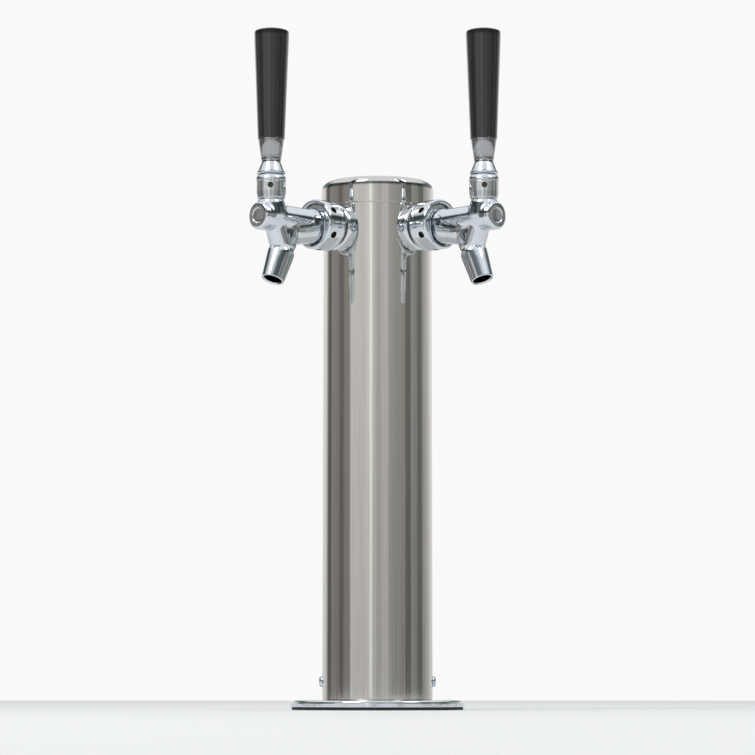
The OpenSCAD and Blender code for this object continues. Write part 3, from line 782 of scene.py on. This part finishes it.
def make_coupling_nuts():
    """The wide nut that draws the faucet on: rounded rims, a fine groove and six spanner holes."""
    bore = shank_r + fit_gap
    groove = nut_back + 3.8
    hole_s = nut_front - 6
    hole_r = 2.4
    shell = lathe([
        (bore, nut_back, 0.5), (nut_r, nut_back, 1.6),
        (nut_r, groove - 0.4, 0.2), (nut_r - 0.45, groove, 0.15), (nut_r, groove + 0.4, 0.2),
        (nut_r, nut_front, 1.6), (thread_r + 1.2, nut_front, 0.3), (thread_r + 0.3, nut_front - 1, 0.2),
        (thread_r + 0.3, collar_back), (bore, collar_back, 0.2)], steps=160)
    drill = [(0, nut_r - 2.2), (hole_r, nut_r - 2.2), (hole_r, nut_r - 0.3), (hole_r + 0.5, nut_r + 0.1),
             (hole_r + 0.5, nut_r + 2), (0, nut_r + 2)]
    holes = [placed(lathe(drill, 40), Matrix.Rotation(math.radians(60 * i), 4, "X")
                    @ Matrix.Translation((hole_s, 0, 0))) for i in range(6)]
    body = carved(lying(shell), *holes)
    # The spanner holes' inner faces get the near-black painted shade.
    mark_painted_hole_shade(body, lambda at: abs(at.x - hole_s) < hole_r + 0.1
                 and thread_r + 0.5 < math.hypot(at.y, at.z) < nut_r - 0.35)
    ridge = lying(thread(thread_r + 0.55, -0.45, coupling_pitch, nut_front - 8, 6.5, 48))
    set_on_taps(joined(body, ridge), "coupling_nut")


def make_shanks():
    """The threaded tube through the column, with its toothed collar inside the coupling nut."""
    root_r = shank_r - 0.7
    pitch = 1.814
    collar_face = collar_back + 4
    tube = lathe([
        (shank_bore_r, shank_back), (shank_r - 1.1, shank_back, 0.3), (root_r, shank_back + 0.8),
        (root_r, collar_back - 0.2), (collar_r, collar_back, 0.3), (collar_r, collar_face, 0.3),
        (chamber_r, collar_face, 0.2), (shank_bore_r, collar_back + 1)], steps=96)
    socket = rod(4.8, shank_back - 1, shank_back + 5)
    teeth = [placed(block((1.25, 1.8, 1.6), (collar_face + 0.55, 0, collar_r - 1.4)),
                    Matrix.Rotation(math.radians(30 * i), 4, "X")) for i in range(12)]
    ridge = thread(root_r, 0.7, pitch, shank_back + 0.6, collar_back - shank_back - 2, 48)
    set_on_taps(joined(lying(carved(tube, socket)), lying(ridge), *teeth), "shank")


def faucet_casting():
    """The outside of the faucet: barrel, neck, belly, chin and the spout's root run together."""
    root_s = faucet_back + 5
    shoulder_r = barrel_r + 1.6
    front = nose_tip - 2.4
    mid = spout_length * 0.46
    spout_mid = (spout_s + mid * math.sin(spout_lean), -mid * math.cos(spout_lean))
    barrel = lathe([
        (0, root_s), (shoulder_r, root_s), (shoulder_r, nut_front + 0.5, 4), (barrel_r, nut_front + 7, 12),
        (barrel_r, front, 0.3), (0, front)])
    spout = lathe([
        (0, 0), (spout_r, 0, 2), (spout_r - 0.6, spout_length * 0.42, 6),
        (spout_r - 1.6, spout_length * 0.52), (spout_r - 1.6, spout_length * 0.64), (0, spout_length * 0.64)])
    neck = lathe([
        (0, 0), (neck_r + 2.2, 0), (neck_r + 1.0, barrel_r, 2), (neck_r, bonnet_foot - 0.4, 1),
        (0, bonnet_foot)])
    return joined(
        lying(barrel), placed(spout, SPOUT), on_lever(neck),
        between((nut_front - 3.5, -2.2), (spout_s + 3, -8), thread_r - 2.9, spout_r),
        between((nut_front + 1.5, -3.6), (spout_s + 5, -11), thread_r - 4.8, spout_r - 1.2),
        between((lever_s - 3, -1), spout_mid, barrel_r - 2, spout_r - 0.5))


def faucet_drills():
    """What is bored out of the casting, from its back, its top and its spout."""
    seat_s = lever_s - 28.5
    guide_r = 4.55
    slot_half = 2.6
    cup_z = pivot_h - ball_r - 0.6
    back_room = lying(rod(chamber_r, faucet_back - 2, seat_s))
    passage = lying(rod(chamber_r - 2.3, seat_s - 1, lever_s - 6))
    guide = lying(rod(guide_r, lever_s - 7, nose_tip - 3))
    cup = on_lever(rod(ball_r + 0.4, cup_z, pivot_h + 20))
    slot = bmesh.new()
    reach = slot_half / math.cos(lever_throw) + 0.1
    outline = [(lever_s + slot_half, 0), (lever_s + slot_half, cup_z + 0.1),
               (lever_s - (pivot_h - cup_z) * math.tan(lever_throw) - reach, cup_z + 0.1),
               (lever_s - pivot_h * math.tan(lever_throw) - reach, 0)]
    face = slot.faces.new([slot.verts.new((s, -slot_half, z)) for s, z in outline])
    pushed = bmesh.ops.extrude_face_region(slot, geom=[face])["geom"]
    far_side = [item for item in pushed if isinstance(item, bmesh.types.BMVert)]
    bmesh.ops.translate(slot, vec=(0, 2 * slot_half, 0), verts=far_side)
    bmesh.ops.recalc_face_normals(slot, faces=slot.faces)
    bore = placed(lathe([
        (0, 0), (spout_bore_r - 0.5, 0), (spout_bore_r - 0.5, 15), (spout_bore_r, 17),
        (spout_bore_r, spout_length - 0.8), (spout_bore_r + 0.7, spout_length + 0.05),
        (spout_bore_r + 0.7, spout_length + 1), (0, spout_length + 1)]), SPOUT)
    clear_r = 20
    face_off = placed(rod(clear_r, spout_length * 0.6, spout_length + 12), SPOUT)
    neck_off = on_lever(rod(clear_r, pivot_h, pivot_h + 12))
    return face_off, neck_off, back_room, passage, guide, cup, slot, bore


def make_faucets():
    """The faucet's casting, with its bores, its turned nose and spout, and the coupling nut's thread."""
    skin = cast(faucet_casting(), 0.5, 22)
    root_r = thread_r - 0.6
    stub_front = faucet_back + 5.4
    stub = lathe([(chamber_r, faucet_back, 0.3), (thread_r - 1, faucet_back, 0.3),
                  (root_r, faucet_back + 1), (root_r, stub_front, 0.3), (chamber_r, stub_front)])
    nose = lathe([
        (0, nose_tip - 3), (barrel_r - 0.4, nose_tip - 3), (barrel_r, nose_tip - 2.7, 0.2),
        (barrel_r, nose_tip - 0.2, 2.2), (barrel_r - 4.4, nose_tip, 0.6),
        (barrel_r - 4.9, nose_tip - 0.6, 0.4), (0, nose_tip - 1)])
    tip = lathe([
        (spout_bore_r + 0.05, spout_length * 0.52), (spout_r - 1.7, spout_length * 0.45, 0.2),
        (spout_r + 0.3, spout_length * 0.54, 7),
        (spout_r - 0.1, spout_length * 0.68, 20), (mouth_r, spout_length, 0.35),
        (spout_bore_r + 0.6, spout_length, 0.3), (spout_bore_r + 0.05, spout_length - 0.9, 0.3)], steps=128)
    neck_top = lathe([(ball_r + 0.4, bonnet_foot - 1), (neck_r, bonnet_foot - 1), (neck_r, pivot_h, 0.4),
                      (ball_r + 0.4, pivot_h, 0.4)])
    ridge = thread(root_r, 0.6, coupling_pitch, faucet_back + 0.4, 4.6, 48)
    body = carved(skin, *faucet_drills())
    whole = joined(body, lying(stub), lying(nose), placed(tip, SPOUT), on_lever(neck_top), lying(ridge))
    set_on_taps(whole, "faucet_body")


def make_bonnets():
    """The bonnet: a body that narrows to its foot, four spanner holes, and a domed rim."""
    rim = pivot_h + math.sqrt(dome_r ** 2 - bonnet_r ** 2)
    edge = math.degrees(math.acos(bonnet_r / dome_r))
    mouth = math.degrees(math.acos(opening_r / dome_r))
    lip_r = 5.9
    lip_h = math.sqrt(ball_r ** 2 - lip_r ** 2)
    bore = neck_r + 0.05
    body_r = bonnet_r - 0.2
    hole_r = 1.9
    hole_z = pivot_h - 1.2
    shell = lathe(
        [(bore, bonnet_foot, 0.3), (bonnet_r - 0.9, bonnet_foot, 0.4),
         (body_r, bonnet_foot + 4.4, 8), (body_r, rim - 2.5, 0.3), (bonnet_r - 0.7, rim - 2.2, 0.12),
         (bonnet_r, rim - 1.7, 0.4), (bonnet_r, rim - 0.4, 0.4)]
        + dome(dome_r, edge + 3, mouth, pivot_h)
        + [(lip_r, pivot_h + lip_h + 0.7, 0.3), (lip_r, pivot_h + 2.5), (ball_r + 0.1, pivot_h + 0.2),
           (bore, pivot_h + 0.2)], steps=124)
    drill = [(0, bonnet_r - 1.2), (hole_r, bonnet_r - 1.2), (hole_r, bonnet_r - 0.5),
             (hole_r + 0.5, bonnet_r), (hole_r + 0.5, bonnet_r + 2), (0, bonnet_r + 2)]
    holes = []
    for i in range(4):
        turn = Matrix.Rotation(math.radians(45 + 90 * i), 4, "Z")
        holes.append(on_lever(placed(lathe(drill, 40), Matrix.Translation((0, 0, hole_z)) @ turn @ Z_TO_X)))
    body = carved(on_lever(shell), *holes)
    # The spanner holes' inner faces get the near-black painted shade.
    mark_painted_hole_shade(body, lambda at: abs(at.z - hole_z) < hole_r + 0.1
                 and neck_r + 0.2 < math.hypot(at.x - lever_s, at.y) < bonnet_r - 0.55)
    set_on_taps(body, "bonnet")


def make_levers():
    """The lever: ball, finger, stem, and the bell-shaped skirt that rides over the bonnet."""
    skirt_in = dome_r + 0.25
    skirt_out = skirt_in + 1.2
    stem_r = 2.9
    post_r = 6.4
    rim_angle = 39
    inner = math.degrees(math.acos(stem_r / skirt_in))
    rim_r = skirt_out * math.cos(math.radians(rim_angle))
    rim_z = pivot_h + skirt_out * math.sin(math.radians(rim_angle))
    stem = lathe(
        [(0, pivot_h), (stem_r, pivot_h)]
        + dome(skirt_in, inner, rim_angle, pivot_h)
        + [(rim_r, rim_z, 0.4), (rim_r - 0.2, rim_z + 0.9, 0.3), (rim_r - 0.9, rim_z + 1.5, 0.8),
           (post_r + 0.2, ferrule_foot - 1.4, 3), (post_r, ferrule_foot, 0.25), (0, ferrule_foot)], steps=128)
    knuckle = ball(ball_r, (0, 0, pivot_h))
    finger_r = 2
    finger = lathe([(0, 0)] + dome(finger_r, -88, 0, finger_r)
                   + [(finger_r, pivot_h - 5), (0, pivot_h - 5)], steps=48)
    root_r = lever_thread_r - 0.6
    pitch = 1.588
    stud = rod(root_r, ferrule_foot - 1, lever_top, 48)
    ridge = thread(root_r, 0.55, pitch, ferrule_foot, lever_top - ferrule_foot, 32)
    set_on_taps(on_lever(joined(stem, knuckle, finger, stud, ridge)), "lever")


def make_ferrules():
    """The tapered sleeve under the knob, with two turned lines near its foot."""
    bore = lever_thread_r + 0.05
    foot_r = ferrule_r - 2.2
    spigot_r = ferrule_r - 2.6
    rise = (ferrule_r - foot_r) / (knob_foot - ferrule_foot)
    sleeve = [(bore, ferrule_foot, 0.3), (foot_r, ferrule_foot, 0.5)]
    for height in (2.2, 3.4):
        r = foot_r + rise * height
        sleeve += [(r, ferrule_foot + height - 0.25), (r - 0.22, ferrule_foot + height, 0.1),
                   (r, ferrule_foot + height + 0.25)]
    sleeve += [(ferrule_r, knob_foot, 0.35), (spigot_r, knob_foot), (spigot_r, ferrule_top, 0.3),
               (bore, ferrule_top, 0.3)]
    set_on_taps(on_lever(lathe(sleeve, steps=96)), "ferrule", "satin_chrome")


def make_knobs():
    """The tall tapered knob, with a rolled foot and a shallow crowned top."""
    foot_r = 9.2
    socket_r = ferrule_r - 2.55
    body = lathe([
        (socket_r, knob_foot, 0.2), (foot_r, knob_foot, 0.5), (knob_r - 0.05, knob_top - 4.0, 30),
        (knob_r - 0.35, knob_top - 1.2, 1.6), (knob_r - 4, knob_top - 0.25, 6), (0, knob_top),
        (0, ferrule_top + 1), (socket_r, ferrule_top + 1)], steps=128)
    set_on_taps(on_lever(body), "knob")


def make_small_pieces():
    """Pieces whose CAD shape is already right, with their edges eased."""
    make_eased("insulation_sleeve", 0.8)
    make_eased("air_tube", 0.3)
    edges = (("shank_saddle", 0.4), ("shank_nut", 0.25), ("coupling_washer", 0.2), ("tail_elbow", 0.12),
             ("beer_line", 0.25), ("line_clamps", 0.15), ("inlet_stub", 0.15), ("lever_washer", 0.15),
             ("valve_shaft", 0.2), ("seat_washer", 0.25), ("seat_nut", 0.2))
    for side in SIDES:
        for kind, edge in edges:
            make_eased(f"{kind}_{side}", edge)


# Stage, light and camera

def set_stage():
    """A plain pale floor."""
    floor_form = bmesh.new()
    bmesh.ops.create_circle(floor_form, cap_ends=True, segments=128, radius=2.2)
    mesh = bpy.data.meshes.new("floor")
    floor_form.to_mesh(mesh)
    material, _, surface = finish("floor_paper", Roughness=0.7)
    surface.inputs["Base Color"].default_value = (0.80, 0.80, 0.79, 1)
    mesh.materials.append(material)
    floor = bpy.data.objects.new("floor", mesh)
    bpy.context.scene.collection.objects.link(floor)


# Colours of the walls that the metal shows
PLAIN = (1, 0.985, 0.965)
WARM = (1, 0.95, 0.89)
LEAFY = (0.94, 1, 0.91)

# The studio round the tower, by degrees from the front: how light its walls are, and their colour
PANELS = (
    (-180, 0.98, PLAIN), (-140, 0.94, PLAIN), (-123, 0.15, PLAIN), (-116, 0.17, PLAIN), (-112, 0.34, PLAIN),
    (-90, 0.30, WARM), (-85, 0.19, WARM), (-78, 0.19, WARM), (-73, 0.31, WARM), (-61, 0.33, PLAIN),
    (-57, 0.80, PLAIN), (-30, 0.76, PLAIN), (-18, 0.86, PLAIN), (-14, 1.3, PLAIN), (-9, 0.74, LEAFY),
    (3, 0.55, PLAIN), (12, 0.66, PLAIN), (21, 0.66, PLAIN), (25, 0.46, PLAIN), (42, 0.40, LEAFY),
    (58, 0.37, WARM), (62, 0.20, WARM), (72, 0.19, WARM), (76, 0.38, LEAFY), (91, 0.32, LEAFY),
    (95, 0.20, LEAFY), (106, 0.20, LEAFY), (110, 0.42, LEAFY), (128, 0.62, PLAIN), (146, 0.92, PLAIN),
    (180, 0.98, PLAIN))


def wall_panels(tree, direction):
    """The walls' colour in a direction, from the panels round the tower."""
    behind = node(tree, "ShaderNodeMath", operation="MULTIPLY")
    behind.inputs[1].default_value = -1
    turn = node(tree, "ShaderNodeMath", operation="ARCTAN2")
    panels = node(tree, "ShaderNodeValToRGB")
    tree.links.new(direction.outputs["Y"], behind.inputs[0])
    tree.links.new(direction.outputs["X"], turn.inputs[0])
    tree.links.new(behind.outputs["Value"], turn.inputs[1])
    tree.links.new(ranged(tree, turn.outputs["Value"], 0, 1, -math.pi, math.pi), panels.inputs["Fac"])
    ramp = panels.color_ramp
    ramp.interpolation = "EASE"
    while len(ramp.elements) > 1:
        ramp.elements.remove(ramp.elements[-1])
    for i, (degrees, level, tint) in enumerate(PANELS):
        stop = ramp.elements[0] if i == 0 else ramp.elements.new((degrees + 180) / 360)
        stop.position = (degrees + 180) / 360
        stop.color = (*(level * part for part in tint), 1)
    return panels.outputs["Color"]


def set_studio():
    """Walls of light and dark panels, dimmer low down, with a dark frieze and a soft light overhead.

    The camera itself sees a pale backdrop.
    """
    world = bpy.data.worlds.new("studio")
    bpy.context.scene.world = world
    world.use_nodes = True
    tree = world.node_tree
    here = node(tree, "ShaderNodeTexCoord")
    direction = node(tree, "ShaderNodeSeparateXYZ")
    tree.links.new(here.outputs["Generated"], direction.inputs["Vector"])
    height = direction.outputs["Z"]
    walls = wall_panels(tree, direction)
    skirting = mixed(tree, ranged(tree, height, 1, 0, 0, 0.15), walls, (0.80, 0.80, 0.81), "MULTIPLY")
    frieze = mixed(tree, 1, walls, (0.20, 0.25, 0.27), "MULTIPLY")
    room = mixed(tree, ranged(tree, height, 0, 1, 0.22, 0.30), skirting, frieze)
    room = mixed(tree, ranged(tree, height, 0, 1, 0.48, 0.60), room, (0.95, 0.97, 1.0))
    seen = node(tree, "ShaderNodeLightPath")
    backdrop = mixed(tree, seen.outputs["Is Camera Ray"], room, (0.95, 0.95, 0.95))
    tree.links.new(backdrop, tree.nodes["Background"].inputs["Color"])


def set_lamp(name, place, aim, size, watts):
    """A soft rectangular lamp."""
    lamp = bpy.data.lights.new(name, "AREA")
    lamp.shape = "RECTANGLE"
    lamp.size, lamp.size_y = size
    lamp.energy = watts
    item = bpy.data.objects.new(name, lamp)
    item.location = place
    item.rotation_euler = (Vector(aim) - Vector(place)).to_track_quat("-Z", "Y").to_euler()
    bpy.context.scene.collection.objects.link(item)


def set_camera():
    """A long view from the front, level with the counter."""
    distance = 1.95
    eye_height = 0.012
    filled = 0.88   # the share of the view that the tower's height fills
    low, high = Vector(cad_bounds[0]), Vector(cad_bounds[1])
    middle = Vector((0, 0, (low.z + high.z) / 2))
    camera = bpy.data.cameras.new("camera")
    camera.sensor_width = 36
    camera.lens = camera.sensor_width / ((high.z - low.z) / filled / distance)
    item = bpy.data.objects.new("camera", camera)
    item.location = (0, -distance, eye_height)
    item.rotation_euler = (middle - item.location).to_track_quat("-Z", "Y").to_euler()
    bpy.context.scene.collection.objects.link(item)
    bpy.context.scene.camera = item


bpy.context.scene.view_settings.view_transform = "Standard"
set_camera()
set_stage()
set_studio()
set_lamp("key", (-1.3, -1.4, 2.3), (0, 0, 0.2), (1.0, 1.0), 26)
set_lamp("fill", (1.6, -1.0, 2.2), (0, 0, 0.25), (0.8, 0.8), 10)

make_column()
make_cap()
make_foot()
make_gasket()
make_column_screws()
make_shank_flanges()
make_coupling_nuts()
make_shanks()
make_faucets()
make_bonnets()
make_levers()
make_ferrules()
make_knobs()
make_small_pieces()
